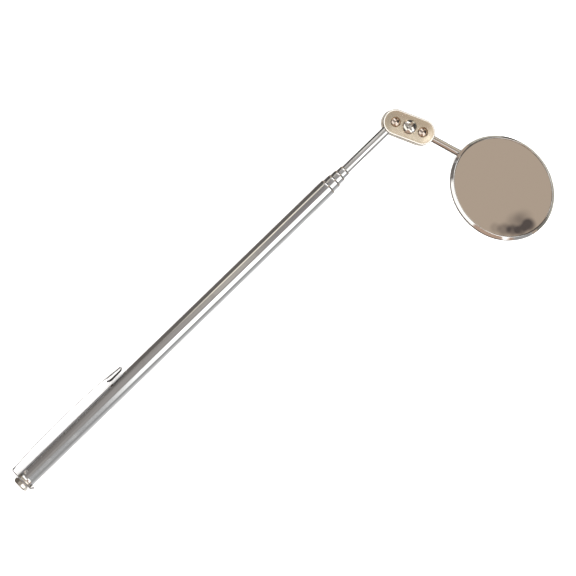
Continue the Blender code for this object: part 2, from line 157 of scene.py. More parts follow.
class Level:
    """A value that varies over a surface. An expression on it adds the Math nodes that work it out."""

    def __init__(self, recipe, socket):
        self.recipe = recipe
        self.socket = socket

    def math(self, operation, *others):
        sockets = dict(enumerate((self, *others)))
        return Level(self.recipe, self.recipe.node("ShaderNodeMath", {"operation": operation}, sockets).outputs[0])

    def __add__(self, other):
        return self.math("ADD", other)

    __radd__ = __add__

    def __sub__(self, other):
        return self.math("SUBTRACT", other)

    def __rsub__(self, other):
        return (self * -1) + other

    def __mul__(self, other):
        return self.math("MULTIPLY", other)

    __rmul__ = __mul__

    def __truediv__(self, other):
        return self.math("DIVIDE", other)

    def __abs__(self):
        return self.math("ABSOLUTE")

    def between(self, low, high):
        """0 below low and 1 above high, with a smooth step from one to the other. High may be the lower one."""
        settings = {"interpolation_type": "SMOOTHSTEP"}
        sockets = {"Value": self, "From Min": min(low, high), "From Max": max(low, high)}
        risen = Level(self.recipe, self.recipe.node("ShaderNodeMapRange", settings, sockets).outputs[0])
        return risen if low < high else 1 - risen

    def within(self, low, full_low, full_high, high):
        """1 from full_low to full_high, with a smooth fall to 0 at low and at high."""
        return self.between(low, full_low) * self.between(high, full_high)


class Recipe:
    """The nodes of one finish, or of the room's light."""

    def __init__(self, tree):
        self.tree = tree

    def node(self, kind, settings=None, sockets=None):
        """A node with its settings, then the values or links of its sockets, named or numbered."""
        made = self.tree.nodes.new(kind)
        for name, value in (settings or {}).items():
            if name == "stops":
                self.set_stops(made.color_ramp, value)
            else:
                setattr(made, name, value)
        for name, value in (sockets or {}).items():
            socket = made.inputs[name]
            if isinstance(value, Level):
                value = value.socket
            if isinstance(value, bpy.types.NodeSocket):
                self.tree.links.new(value, socket)
            else:
                socket.default_value = value
        return made

    @staticmethod
    def set_stops(ramp, stops):
        while len(ramp.elements) < len(stops):
            ramp.elements.new(0.5)
        for element, (place, colour) in zip(ramp.elements, stops):
            element.position = place
            element.color = (*colour, 1.0)

    def level(self, kind, settings=None, sockets=None, output=0):
        return Level(self, self.node(kind, settings, sockets).outputs[output])

    def places(self, stretch=(1, 1, 1)):
        """The point on the piece, in millimetres of its own frame, each axis multiplied by its stretch."""
        raw = self.node("ShaderNodeTexCoord").outputs["Object"]
        scale = tuple(s / MM for s in stretch)
        return self.node("ShaderNodeVectorMath", {"operation": "MULTIPLY"}, {0: raw, 1: scale}).outputs[0]

    def coordinates(self):
        """The point on the piece, in millimetres of its own frame, as three values."""
        parts = self.node("ShaderNodeSeparateXYZ", None, {0: self.places()})
        return [Level(self, parts.outputs[i]) for i in range(3)]

    def noise(self, stretch, detail=3.0, roughness=0.55, distortion=0.0):
        sockets = {
            "Vector": self.places(stretch),
            "Scale": 1.0,
            "Detail": detail,
            "Roughness": roughness,
            "Distortion": distortion,
        }
        return self.level("ShaderNodeTexNoise", None, sockets)

    def blended(self, share, first, second):
        """A colour between two, by a share."""
        sockets = {"Factor": share, 6: first, 7: second}
        return self.node("ShaderNodeMix", {"data_type": "RGBA"}, sockets).outputs[2]

    def bump(self, height, distance, strength=1.0):
        sockets = {"Height": height, "Distance": distance, "Strength": strength}
        return self.node("ShaderNodeBump", None, sockets).outputs[0]


def colour(r, g, b):
    return (r, g, b, 1.0)


def finish(name, fixed, varying):
    """A material whose constant values are set on the shader and whose varying ones come from a recipe."""
    made = bpy.data.materials.new(name)
    made.use_nodes = True
    recipe = Recipe(made.node_tree)
    shader = made.node_tree.nodes["Principled BSDF"]
    for socket, value in fixed.items():
        shader.inputs[socket].default_value = value
    for socket, value in varying(recipe).items():
        linked = value.socket if isinstance(value, Level) else value
        made.node_tree.links.new(linked, shader.inputs[socket])
    return made


def plated(name, clean, worn, roughness, lines, cloudiness=0.05):
    """Bright plating: fine lines from polishing along one direction, hair scratches, faint clouds of handling."""

    def varying(recipe):
        drawn = recipe.noise(lines, 2.0, 0.6)
        scratch = recipe.noise(tuple(9 * s for s in lines), 1.0, 0.4).between(0.66, 0.74)
        clouds = recipe.noise((0.11, 0.16, 0.16), 4.0, 0.6, 0.6)
        specks = recipe.noise((2.6, 2.6, 2.6), 2.0, 0.5).between(0.70, 0.78)
        dulled = clouds.between(0.45, 0.8)
        rough = dulled * cloudiness + drawn * (roughness * 0.5) + scratch * 0.07 + specks * 0.10
        return {
            "Base Color": recipe.blended((dulled * 0.55 + specks * 0.45), clean, worn),
            "Roughness": rough + roughness * 0.65,
            "Normal": recipe.bump(drawn + scratch * 0.6, 0.0008 * MM, 0.6),
        }

    return finish(name, {"Metallic": 1.0, "IOR": 1.6}, varying)


EDGE_HIGHLIGHT_TAPER = 0.0069


def spring_strip():
    """Plated spring strip: rolling lines along it, painted highlight on its edges, painted shade in its tip's fold."""

    def varying(recipe):
        rolled = recipe.noise((0.12, 6.0, 9.0), 3.0, 0.6)
        clouds = recipe.noise((0.2, 0.2, 0.3), 4.0, 0.6, 0.4)
        scratch = recipe.noise((0.5, 3.0, 30.0), 2.0, 0.5).between(0.64, 0.74)
        dulled = clouds.between(0.4, 0.8)
        x, y, z = recipe.coordinates()
        # Painted shade: the inside of the fold at the tip is darkened to near black.
        painted_fold_shade = x.within(58.0, 58.6, 67.2, 67.8) * y.between(6.6, 6.3) * abs(z).between(1.9, 2.0)
        # Painted highlight: a pale, less metallic band along the strip's edges, which follow its taper.
        highlight_edge_band = (abs(z) + x * EDGE_HIGHLIGHT_TAPER).between(2.40, 2.48)
        painted_edge_highlight = highlight_edge_band * x.within(0.2, 1.4, 57.0, 61.0) * y.between(6.3, 6.6)
        plain = recipe.blended(dulled * 0.6, colour(0.56, 0.56, 0.57), colour(0.46, 0.455, 0.45))
        with_edge_highlight = recipe.blended(painted_edge_highlight, plain, colour(0.93, 0.93, 0.93))
        return {
            "Base Color": recipe.blended(painted_fold_shade * 0.94, with_edge_highlight, colour(0.035, 0.03, 0.03)),
            "Metallic": 1 - painted_edge_highlight * 0.72,
            "Roughness": dulled * 0.06 + scratch * 0.08 + rolled * 0.05 + painted_edge_highlight * 0.3 + 0.12,
            "Normal": recipe.bump(rolled + scratch * 0.5, 0.0015 * MM, 0.6),
        }

    return finish("spring_strip", {}, varying)


def swivel_steel():
    """Warm, hand-worn plating on the swivel's plates, rimmed by a pale, dull painted highlight and painted shade."""

    def varying(recipe):
        drawn = recipe.noise((0.9, 4.0, 4.0), 3.0, 0.6)
        clouds = recipe.noise((0.22, 0.3, 0.3), 4.0, 0.6, 0.5).between(0.35, 0.75)
        specks = recipe.noise((2.4, 2.4, 2.4), 2.0, 0.5).between(0.66, 0.76)
        x, y, _ = recipe.coordinates()
        past_end = (abs(x - BALL_SPACING / 2) - (PLATE_LENGTH / 2 - PLATE_END_RADIUS)).math("MAXIMUM", 0.0)
        from_middle = (past_end * past_end + y * y).math("SQRT")
        # Painted highlight: a pale, less metallic band round the rim. Painted shade: the dark line at the very edge.
        painted_rim_highlight = from_middle.between(5.35, 5.6)
        shadowed = from_middle.between(5.94, 6.04)
        face = recipe.blended(clouds * 0.6 + specks * 0.3, colour(0.88, 0.77, 0.60), colour(0.72, 0.59, 0.46))
        rim = recipe.blended(painted_rim_highlight, face, colour(0.88, 0.86, 0.80))
        return {
            "Base Color": recipe.blended(shadowed, rim, colour(0.42, 0.38, 0.33)),
            "Metallic": 1 - painted_rim_highlight * (1 - shadowed) * 0.42,
            "Roughness": drawn * 0.06 + clouds * 0.05 + specks * 0.08 + painted_rim_highlight * 0.12 + 0.19,
            "Normal": recipe.bump(drawn + specks * 0.5, 0.0015 * MM, 0.6),
        }

    return finish("swivel_steel", {"IOR": 1.6}, varying)


def bush_brass():
    def varying(recipe):
        turned_lines = recipe.noise((18.0, 0.4, 0.4), 2.0, 0.5)
        tarnish = recipe.noise((0.5, 0.5, 0.5), 4.0, 0.6).between(0.4, 0.75)
        return {
            "Base Color": recipe.blended(tarnish, colour(0.80, 0.60, 0.30), colour(0.52, 0.36, 0.17)),
            "Roughness": tarnish * 0.25 + turned_lines * 0.12 + 0.2,
            "Normal": recipe.bump(turned_lines, 0.004 * MM),
        }

    return finish("bush_brass", {"Metallic": 1.0}, varying)


def silvered_glass():
    """Silvering seen through clear glass: almost no texture, only faint wiping marks and specks of dust."""

    def varying(recipe):
        wiped = recipe.noise((0.05, 0.9, 0.3), 3.0, 0.6, 0.8).between(0.5, 0.85)
        dust = recipe.noise((1.9, 1.9, 1.9), 2.0, 0.5).between(0.745, 0.80)
        return {
            "Base Color": recipe.blended(dust * 0.5, colour(0.93, 0.925, 0.905), colour(0.80, 0.79, 0.77)),
            "Roughness": wiped * 0.012 + dust * 0.12 + 0.004,
        }

    fixed = {"Metallic": 1.0, "Coat Weight": 0.35, "Coat Roughness": 0.01, "Coat IOR": 1.5}
    return finish("silvered_glass", fixed, varying)


def pad_fibre():
    def varying(recipe):
        fibres = recipe.noise((7.0, 0.8, 7.0), 4.0, 0.7, 1.2)
        return {
            "Base Color": recipe.blended(fibres, colour(0.10, 0.08, 0.07), colour(0.24, 0.20, 0.17)),
            "Roughness": fibres * 0.2 + 0.75,
            "Normal": recipe.bump(fibres, 0.05 * MM),
        }

    return finish("pad_fibre", {"Metallic": 0.0}, varying)


FINISHES = {
    "chrome_tube": plated("chrome_tube", colour(0.80, 0.80, 0.80), colour(0.70, 0.69, 0.67), 0.075, (0.05, 5, 5)),
    "chrome_rod": plated("chrome_rod", colour(0.80, 0.79, 0.78), colour(0.70, 0.68, 0.65), 0.075, (0.08, 7, 7)),
    "chrome_cup": plated("chrome_cup", colour(0.82, 0.81, 0.80), colour(0.72, 0.70, 0.67), 0.07, (0.9, 0.9, 6)),
    "plated_steel": plated("plated_steel", colour(0.84, 0.79, 0.71), colour(0.70, 0.63, 0.53), 0.11, (0.7, 5, 2)),
    "swivel_steel": swivel_steel(),
    "screw_steel": plated("screw_steel", colour(0.80, 0.77, 0.72), colour(0.64, 0.60, 0.54), 0.12, (3, 3, 0.8)),
    "ball_steel": plated("ball_steel", colour(0.66, 0.57, 0.50), colour(0.50, 0.42, 0.36), 0.13, (2, 2, 2)),
    "spring_steel": spring_strip(),
    "bush_brass": bush_brass(),
    "silvered_glass": silvered_glass(),
    "pad_fibre": pad_fibre(),
}

# ---------------------------------------------------------------- shape tools


CREASE = 32.0


def solid(name, shape, place):
    """A shape in a frame of its own, with its faces outwards."""
    points, faces = shape
    mesh = bpy.data.meshes.new(name)
    mesh.from_pydata([Vector(p) * MM for p in points], [], faces)
    work = bmesh.new()
    work.from_mesh(mesh)
    bmesh.ops.recalc_face_normals(work, faces=work.faces)
    work.to_mesh(mesh)
    work.free()
    made = bpy.data.objects.new(name, mesh)
    bpy.context.collection.objects.link(made)
    made.matrix_world = place
    return made


def piece(name, shape, place, body, slot, replaced=(), crease=CREASE, look=None):
    """A solid with its finish, its body and the CAD nodes it stands for."""
    made = solid(name, shape, place)
    made.data.materials.append(FINISHES[look or slot])
    shade(made, crease)
    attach(made, body)
    if replaced:
        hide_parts(*replaced)
    return made


def shade(obj, crease):
    """Smooth shading that breaks at sharp edges and keeps large faces flat."""
    obj.data.shade_smooth()
    obj.data.set_sharp_from_angle(angle=radians(crease))
    even = obj.modifiers.new("even_normals", "WEIGHTED_NORMAL")
    even.keep_sharp = True
    even.weight = 100


def cut(target, shapes, crease=CREASE):
    """Cuts shapes, given in the piece's own frame, out of the piece, and leaves no helper behind."""
    target.modifiers.remove(target.modifiers["even_normals"])
    for shape in shapes:
        bpy.context.view_layer.update()
        cutter = solid("cutter", shape, target.matrix_world)
        change = target.modifiers.new("cut", "BOOLEAN")
        change.solver = "EXACT"
        change.object = cutter
        bpy.context.view_layer.update()
        evaluated = target.evaluated_get(bpy.context.evaluated_depsgraph_get())
        result = bpy.data.meshes.new_from_object(evaluated)
        target.modifiers.remove(change)
        target.data = result
        bpy.data.objects.remove(cutter)
    shade(target, crease)


def turned(profile, axis="X", segments=128, dent=None):
    """A profile of (along, radius) turned about an axis. A dent, if given, moves each point (along, radius, angle)."""
    open_chain = profile[0][1] == 0.0
    points, rows = [], []
    for along, radius in profile:
        if radius == 0.0:
            rows.append([len(points)] * segments)
            points.append(on_axis(axis, along, 0.0, 0.0))
            continue
        rows.append(list(range(len(points), len(points) + segments)))
        for i in range(segments):
            angle = 2 * pi * i / segments
            reach = radius - (dent(along, radius, angle) if dent else 0.0)
            points.append(on_axis(axis, along, reach * cos(angle), reach * sin(angle)))
    pairs = list(zip(rows, rows[1:])) + ([] if open_chain else [(rows[-1], rows[0])])
    faces = []
    for low, high in pairs:
        for i in range(segments):
            j = (i + 1) % segments
            corners = [low[i], low[j], high[j], high[i]]
            face = [c for k, c in enumerate(corners) if c != corners[k - 1]]
            faces.append(face)
    return points, faces


def on_axis(axis, along, across, upward):
    return {"X": (along, across, upward), "Y": (across, along, upward), "Z": (across, upward, along)}[axis]


def moved(shape, by):
    points, faces = shape
    return [tuple(Vector(p) + Vector(by)) for p in points], faces


def share_of(value):
    return min(max(value, 0.0), 1.0)


def lofted(rings):
    """A solid through rings of equal length, with both ends capped."""
    size = len(rings[0])
    points = [p for ring in rings for p in ring]
    faces = [list(range(size)), list(range(len(points) - size, len(points)))]
    for k in range(len(rings) - 1):
        for i in range(size):
            j = (i + 1) % size
            low, high = k * size, (k + 1) * size
            faces.append([low + i, low + j, high + j, high + i])
    return points, faces


def flared_hole(radius, low, high, easing, segments=96):
    """A cutter for a hole through a sheet between two heights, with both of its edges eased to a round."""
    outside = [(low - 1.0, 0.0), (low - 1.0, radius + easing)]
    lower = [(low + easing * (1 - cos(a)), radius + easing * (1 - sin(a))) for a in quarter()]
    upper = [(high - easing * (1 - cos(a)), radius + easing * (1 - sin(a))) for a in reversed(quarter())]
    top = [(high + 1.0, radius + easing), (high + 1.0, 0.0)]
    return turned(outside + lower + upper + top, "Z", segments)


def quarter(steps=5):
    return [pi / 2 * k / steps for k in range(steps + 1)]


# ---------------------------------------------------------------- handle


def rolled_front(front, outer, bore, lip):
    """The front end of a tube, whose wall is rolled over in a small round and ends in a lip."""
    nose, drop = 1.1, 0.38
    rolled = [(front - nose + nose * sin(a), outer - drop * (1 - cos(a))) for a in quarter(16)]
    inner = [(front, lip + 0.04), (front - 0.05, lip), (front - LIP_LENGTH, lip), (front - LIP_LENGTH - 0.35, bore)]
    return [(front - nose - 0.5, outer), *rolled, *inner]


def crimp_dent(along, radius, angle):
    """How far a crimp pushes the tube's wall in at this point: three round dimples, each with a soft shoulder."""
    if radius < OUTER_RADIUS - TUBE_WALL - 0.02:
        return 0.0
    apart = 2 * pi / CRIMP_COUNT
    nearest = round((angle - CRIMP_ANGLE) / apart) * apart + CRIMP_ANGLE
    away = hypot(along - CRIMP_AT, radius * (angle - nearest)) / CRIMP_REACH
    if away >= 1.25:
        return 0.0
    bowl = CRIMP_DEPTH * max(0.0, 1 - away * away)
    shoulder = CRIMP_SHOULDER * max(0.0, 1 - abs(away - 0.95) / 0.3)
    return bowl + shoulder


def outer_tube():
    bore = OUTER_RADIUS - TUBE_WALL
    lip = OUTER_RADIUS - STEP + LIP_CLEARANCE
    rear = REAR_ENDS[0]
    crimped = [CRIMP_AT + 1.3 * k / 12 for k in range(-12, 13)]
    profile = [(rear, bore + 0.04), (rear, OUTER_RADIUS - 0.1), (rear + 0.03, OUTER_RADIUS - 0.03)]
    profile += [(rear + 0.1, OUTER_RADIUS)] + [(along, OUTER_RADIUS) for along in crimped]
    profile += [(along, OUTER_RADIUS) for along in OUTER_TUBE_ROWS]
    profile += rolled_front(FRONT_ENDS[0], OUTER_RADIUS, bore, lip)
    profile += [(along, bore) for along in reversed((*crimped, *OUTER_TUBE_ROWS))] + [(rear + 0.05, bore)]
    shape = turned(profile, segments=144, dent=crimp_dent)
    piece("handle_tube", shape, tubes_frame, "handle", "chrome_tube", ["outer_tube"])


def rear_plug():
    body = OUTER_RADIUS - TUBE_WALL - 0.05
    hole = SCREW_RADIUS + 0.05
    edge = 0.3
    profile = [(-FLANGE, hole + 0.25), (-FLANGE, OUTER_RADIUS - edge)]
    profile += [(-FLANGE + edge * (1 - cos(a)), OUTER_RADIUS - edge * (1 - sin(a))) for a in quarter(8)]
    profile += [(-0.2 * (1 - sin(a)), OUTER_RADIUS - 0.2 * (1 - cos(a))) for a in quarter()]
    profile += [(0.0, body), (CRIMP_AT - 1.4, body), (CRIMP_AT - 1.2, body - 0.45), (CRIMP_AT + 1.2, body - 0.45)]
    profile += [(CRIMP_AT + 1.4, body), (PLUG_LENGTH - 0.4, body), (PLUG_LENGTH, body - 0.4)]
    profile += [(PLUG_LENGTH, hole), (-FLANGE + 0.25, hole)]
    piece("rear_plug", turned(profile), tubes_frame, "handle", "plated_steel", ["end_plug"])


def hex_radius(angle):
    """The distance from the middle to a hexagon's side, slightly crowned, with its corners slightly rounded."""
    sharpness = 60
    total = sum(max(cos(angle - k * pi / 3), 0.0) ** sharpness for k in range(6))
    return HEX_FLATS / total ** (1 / sharpness) - 0.1 * sin(3 * angle) ** 2


def hex_screw():
    """A hex head on a washer face, with its rear corners chamfered by a cone and its sides slightly drawn in."""
    head_front = CLIP_FOOT_X - CLIP_SHEET / 2 - 0.05
    head_back = head_front - HEX_HEIGHT
    corner = HEX_FLATS / cos(pi / 6)
    chamfer = 0.7
    stations = [(head_back, HEX_FLATS - 0.62, 1), (head_back + 0.04, HEX_FLATS - 0.5, 1)]
    for k in range(1, 9):
        stations.append((head_back + 0.04 + chamfer * k / 8, HEX_FLATS - 0.5 + (corner + 0.5 - HEX_FLATS) * k / 8, 1))
    stations += [(head_front - 0.55, corner, 0), (head_front - 0.45, HEX_FLATS - 0.05, 0)]
    stations += [(head_front - 0.4, HEX_FLATS - 0.15, 0), (head_front, HEX_FLATS - 0.15, 0)]
    rings = []
    for along, limit, drawn in stations:
        ring = []
        for i in range(180):
            angle = 2 * pi * i / 180
            reach = min(hex_radius(angle) - 0.09 * drawn, limit)
            ring.append((along, reach * sin(angle), reach * cos(angle)))
        rings.append(ring)
    shank = [(head_front, 0.8), (head_front, SCREW_RADIUS), (6.4, SCREW_RADIUS), (6.8, 1.1), (6.8, 0.8)]
    head_points, head_faces = lofted(rings)
    shank_points, shank_faces = turned(shank, segments=48)
    first = len(head_points)
    faces = head_faces + [[first + i for i in face] for face in shank_faces]
    shape = (head_points + shank_points, faces)
    piece("hex_screw", shape, tubes_frame, "handle", "plated_steel", ["end_screw"], crease=24)


def clip_line():
    """The middle line of the clip's sheet as (x, y), from the small tab over the foot to the folded tip."""
    line = [(0.35, -5.4), (-0.3, -4.98), (-0.88, -4.6), (-1.2, -4.25)]
    line += [(CLIP_FOOT_X, y) for y in (-3.8, -2.2, 0.0, 2.2, 4.6, 6.9)]
    bend = 0.7
    for k in (1, 2, 3, 4):
        angle = radians(22.5 * k)
        line.append((CLIP_FOOT_X + bend * (1 - cos(angle)), 6.9 + bend * sin(angle)))
    line += [(1.2, 7.64), (4.0, 7.80), (10.0, 8.20), (16.0, 8.50), (22.0, 8.70), (28.0, 8.84), (34.0, 8.81)]
    line += [(40.0, 8.68), (46.0, 8.52), (52.0, 8.33), (55.0, 8.18), (58.0, 7.92), (61.0, 7.60), (64.0, 7.35)]
    line.append((66.5, 7.13))
    for k in range(8):
        angle = radians(83 - 143 * k / 7)
        line.append((67.72 + 0.42 * cos(angle), 6.58 + 0.42 * sin(angle)))
    line += [(67.2, 5.95), (66.5, 5.83), (63.0, 5.80), (60.6, 5.82), (59.9, 5.98), (59.3, 6.30), (58.85, 6.65)]
    return line


def smoothed(line, parts=3):
    """The line with points added on a smooth curve through its own."""
    found = []
    for k in range(len(line) - 1):
        a, b = line[max(k - 1, 0)], line[k]
        c, d = line[k + 1], line[min(k + 2, len(line) - 1)]
        for step in range(parts):
            t = step / parts
            found.append(tuple(spline(t, a[i], b[i], c[i], d[i]) for i in (0, 1)))
    return found + [line[-1]]


def spline(t, a, b, c, d):
    return 0.5 * (2 * b + (c - a) * t + (2 * a - 5 * b + 4 * c - d) * t * t + (3 * b - a - 3 * c + d) * t**3)


def strip_section(half, thickness, ease):
    """Half-round eased corners round a flat strip's section, as (out of the sheet, along its width)."""
    ring = []
    for out, wide, turn in ((1, 1, 0), (-1, 1, 1), (-1, -1, 2), (1, -1, 3)):
        for k in range(4):
            angle = pi / 2 * turn + pi / 6 * k
            ring.append((out * (thickness / 2 - ease) + ease * cos(angle), wide * (half - ease) + ease * sin(angle)))
    return ring


def pocket_clip():
    """A bent strip that tapers towards its tip, thicker in the leaf folded back under it."""
    line = smoothed(clip_line())
    travelled = [0.0]
    for a, b in zip(line, line[1:]):
        travelled.append(travelled[-1] + hypot(b[0] - a[0], b[1] - a[1]))
    rings = []
    for k, (x, y) in enumerate(line):
        before, after = line[max(k - 1, 0)], line[min(k + 1, len(line) - 1)]
        heading = atan2(after[1] - before[1], after[0] - before[0])
        taper = share_of((travelled[k] - 12.0) / 72.0)
        half = (CLIP_WIDTH_REAR + (CLIP_WIDTH_TIP - CLIP_WIDTH_REAR) * taper) / 2
        to_end = min(travelled[k], travelled[-1] - travelled[k])
        if to_end < 0.5:
            half -= max(0.0, CLIP_CORNER - sqrt(2 * CLIP_CORNER * to_end))
        leaf = share_of((travelled[k] - travelled[-1] + 10.0) / 8.0)
        section = strip_section(half, CLIP_SHEET * (1 + 0.7 * leaf), 0.1)
        rings.append([(x - sin(heading) * out, y + cos(heading) * out, wide) for out, wide in section])
    clip = piece("clip_strip", lofted(rings), tubes_frame, "handle", "spring_steel", ["pocket_clip"])
    hole = turned([(-3.0, 0.0), (-3.0, CLIP_HOLE), (1.0, CLIP_HOLE), (1.0, 0.0)], segments=48)
    cut(clip, [hole])


# ---------------------------------------------------------------- telescoping stages


def stage_frame(stage):
    return tubes_frame @ Matrix.Translation((REAR_ENDS[stage] * MM, 0, 0))


def necked_rear(outer, neck):
    return [
        (0.0, outer - 0.12),
        (0.04, outer - 0.04),
        (0.12, outer),
        (END_RIM, outer),
        (END_RIM + 0.02, neck),
        (NECK_LENGTH, neck),
        (NECK_LENGTH + 0.5, outer),
    ]


def section_tube(name, stage, body, node):
    outer = OUTER_RADIUS - STEP * stage
    bore = outer - TUBE_WALL
    neck = outer - NECK_DEPTH
    lip = outer - STEP + LIP_CLEARANCE
    front = FRONT_ENDS[stage] - REAR_ENDS[stage]
    profile = necked_rear(outer, neck) + [(front * 0.35, outer), (front * 0.7, outer)]
    profile += rolled_front(front, outer, bore, lip)
    profile += [(NECK_LENGTH + 0.9, bore), (NECK_LENGTH + 0.5, neck - TUBE_WALL), (0.0, neck - TUBE_WALL)]
    piece(name, turned(profile, segments=112), stage_frame(stage), body, "chrome_tube", [node])


def innermost_rod():
    front = ROD_BALL_X - 3.05 - REAR_ENDS[4]
    profile = [(0.0, 0.0)] + necked_rear(ROD_RADIUS, ROD_RADIUS - NECK_DEPTH - 0.05)
    profile += [(front * 0.5, ROD_RADIUS)]
    profile += [(front - 0.2 + 0.2 * sin(a), ROD_RADIUS - 0.2 * (1 - cos(a))) for a in quarter()]
    profile += [(front, PIN_RADIUS), (front + 3.8, PIN_RADIUS), (front + 3.95, PIN_RADIUS - 0.15), (front + 3.95, 0.0)]
    piece("innermost_rod", turned(profile, segments=96), stage_frame(4), "rod_stage", "chrome_rod", ["inner_rod"])


# ---------------------------------------------------------------- swivel


def ball(name, place, body, node, towards):
    """A bored ball. The bore opens on the side given by towards, 1 or -1 along X."""
    start = atan2(sqrt(BALL_RADIUS**2 - BALL_FLAT**2), BALL_FLAT)
    profile = [(-1.1, 0.0), (-1.1, PIN_RADIUS + 0.05), (BALL_FLAT, PIN_RADIUS + 0.05)]
    for k in range(49):
        angle = start + (pi - start) * k / 49
        profile.append((BALL_RADIUS * cos(angle), BALL_RADIUS * sin(angle)))
    profile.append((-BALL_RADIUS, 0.0))
    shape = turned([(towards * along, radius) for along, radius in profile], segments=96)
    piece(name, shape, place, body, "ball_steel", [node])


def stadium(radius, height, steps=40):
    straight = PLATE_LENGTH / 2 - PLATE_END_RADIUS
    ring = []
    for end, turn in ((1, -pi / 2), (-1, pi / 2)):
        for k in range(steps + 1):
            angle = turn + pi * k / steps
            ring.append((BALL_SPACING / 2 + end * straight + radius * cos(angle), radius * sin(angle), height))
    return ring


def swivel_plate(name, side, node):
    """A stadium plate above the balls, side 1, or below them, side -1, with its outer edge drawn to a round."""
    inner, outer = PLATE_INNER, PLATE_INNER + PLATE_SHEET
    round_edge = 0.5
    stations = [(PLATE_END_RADIUS - 0.1 * (1 - sin(a)), inner + 0.1 * (1 - cos(a))) for a in quarter(4)]
    stations += [
        (PLATE_END_RADIUS - round_edge * (1 - cos(a)), outer - round_edge * (1 - sin(a))) for a in quarter(10)
    ]
    stations += [(radius, outer) for radius in (PLATE_FLAT_RADIUS, 4.2, 3.2, 2.1, 1.0)]
    rings = []
    for radius, height in stations:
        sunk = PLATE_CROWN * min(radius / PLATE_FLAT_RADIUS, 1.0) ** 2 if height > inner + 0.15 else 0.0
        rings.append(stadium(radius, side * (height - sunk)))
    plate = piece(name, lofted(rings), swivel_frame, "swivel", "plated_steel", [node], look="swivel_steel")
    low, high = min(side * inner, side * outer), max(side * inner, side * outer)
    holes = [moved(flared_hole(BALL_HOLE, low, high, 0.16), (at, 0, 0)) for at in (0.0, BALL_SPACING)]
    screw_hole = SCREW_RADIUS + (0.25 if side > 0 else 0.05)
    holes.append(moved(flared_hole(screw_hole, low, high, 0.1), (BALL_SPACING / 2, 0, 0)))
    cut(plate, holes)


def tapped_boss():
    """The collar drawn up inside the back plate for the tension screw's thread."""
    hole = SCREW_RADIUS + 0.05
    profile = [(-PLATE_INNER - 0.02, hole), (-PLATE_INNER - 0.02, 2.7)]
    profile += [(-PLATE_INNER + 0.25, 2.5), (-1.2, 2.45), (-1.05, 2.38), (-1.0, 2.25), (-1.0, hole)]
    shape = moved(turned(profile, "Z", 96), (BALL_SPACING / 2, 0, 0))
    piece("tapped_boss", shape, swivel_frame, "swivel", "plated_steel")


def cross_arm(turn):
    """One tapered arm of the screw's cross recess."""
    rings = []
    for half, width, height in ((2.05, 0.46, PAN_HEIGHT + 0.3), (0.95, 0.26, PAN_HEIGHT - 1.3)):
        ring = [(half, width, height), (-half, width, height), (-half, -width, height), (half, -width, height)]
        rings.append([tuple(Matrix.Rotation(turn, 4, "Z") @ Vector(p)) for p in ring])
    return lofted(rings)


def tension_screw():
    seat = PLATE_INNER + PLATE_SHEET + 0.03
    tip = -2 * (PLATE_INNER + PLATE_SHEET) + 0.1
    profile = [(tip, 0.0), (tip, SCREW_RADIUS - 0.25), (tip + 0.25, SCREW_RADIUS), (0.0, SCREW_RADIUS)]
    profile += [(0.0, PAN_RADIUS - 0.1), (0.1, PAN_RADIUS), (0.5, PAN_RADIUS)]
    for k in range(15):
        angle = radians(4 + 86 * k / 14)
        profile.append((0.5 + (PAN_HEIGHT - 0.5) * sin(angle), max(PAN_RADIUS * cos(angle) ** 0.72, 0.02)))
    profile.append((PAN_HEIGHT, 0.0))
    place = swivel_frame @ Matrix.Translation((BALL_SPACING / 2 * MM, 0, seat * MM))
    screw = piece("pan_screw", turned(profile, "Z", 128), place, "swivel", "screw_steel", ["tension_screw"], crease=40)
    cut(screw, [cross_arm(RECESS_TURN), cross_arm(RECESS_TURN + pi / 2)])


# ---------------------------------------------------------------- mirror head


def rounded(x, half_width, half_height, corner, height, steps=12):
    """A ring round a rounded rectangle that stands across the stem at x."""
    ring = []
    for across, up, turn in ((1, 1, 0), (-1, 1, 1), (-1, -1, 2), (1, -1, 3)):
        for k in range(steps + 1):
            angle = pi / 2 * (turn + k / steps)
            y = across * (half_width - corner) + corner * cos(angle)
            ring.append((x, y, height + up * (half_height - corner) + corner * sin(angle)))
    return ring


def mirror_stem():
    """A round stem whose far end is flattened, raised and riveted to the back of the cup."""
    rings = [rounded(-0.9, 1.05, 1.05, 1.0, 0.0)]
    rings += [rounded(x, PIN_RADIUS, PIN_RADIUS, PIN_RADIUS * 0.97, 0.0) for x in (-0.75, 3.05)]
    for angle in quarter():
        radius = STEM_RADIUS - 0.2 * (1 - sin(angle))
        rings.append(rounded(3.06 + 0.2 * (1 - cos(angle)), radius, radius, radius * 0.97, 0.0))
    rings += [rounded(x, STEM_RADIUS, STEM_RADIUS, STEM_RADIUS * 0.97, 0.0) for x in (10.0, STEM_SPREADS_AT)]
    raised = CUP_BACK - 0.65
    for k in range(1, 10):
        t = k / 10
        eased = t * t * (3 - 2 * t)
        half = STEM_RADIUS + (TONGUE_HALF - STEM_RADIUS) * eased
        thick = STEM_RADIUS + (TONGUE_THICK - STEM_RADIUS) * eased
        corner = min(half, thick) * (0.97 - 0.3 * eased)
        along = STEM_SPREADS_AT + (TONGUE_FROM - STEM_SPREADS_AT) * t
        rings.append(rounded(along, half, thick, corner, raised * eased))
    rings += [rounded(x, TONGUE_HALF, TONGUE_THICK, 0.4, raised) for x in (TONGUE_FROM, TONGUE_TO)]
    for k in range(1, 9):
        angle = pi / 2 * k / 8.3
        half, corner = TONGUE_HALF * cos(angle) + 0.05, 0.4 * cos(angle) + 0.04
        rings.append(rounded(TONGUE_TO + 2.9 * sin(angle), half, TONGUE_THICK, corner, raised))
    stem = piece("mirror_arm", lofted(rings), head_frame, "mirror_head", "chrome_rod", ["mirror_stem"], crease=28)
    low, high = CUP_BACK - 1.25, CUP_BACK - 0.05
    cut(stem, [moved(flared_hole(RIVET_HOLE, low, high, 0.08, 48), (x, 0, 0)) for x in RIVETS_AT], crease=28)


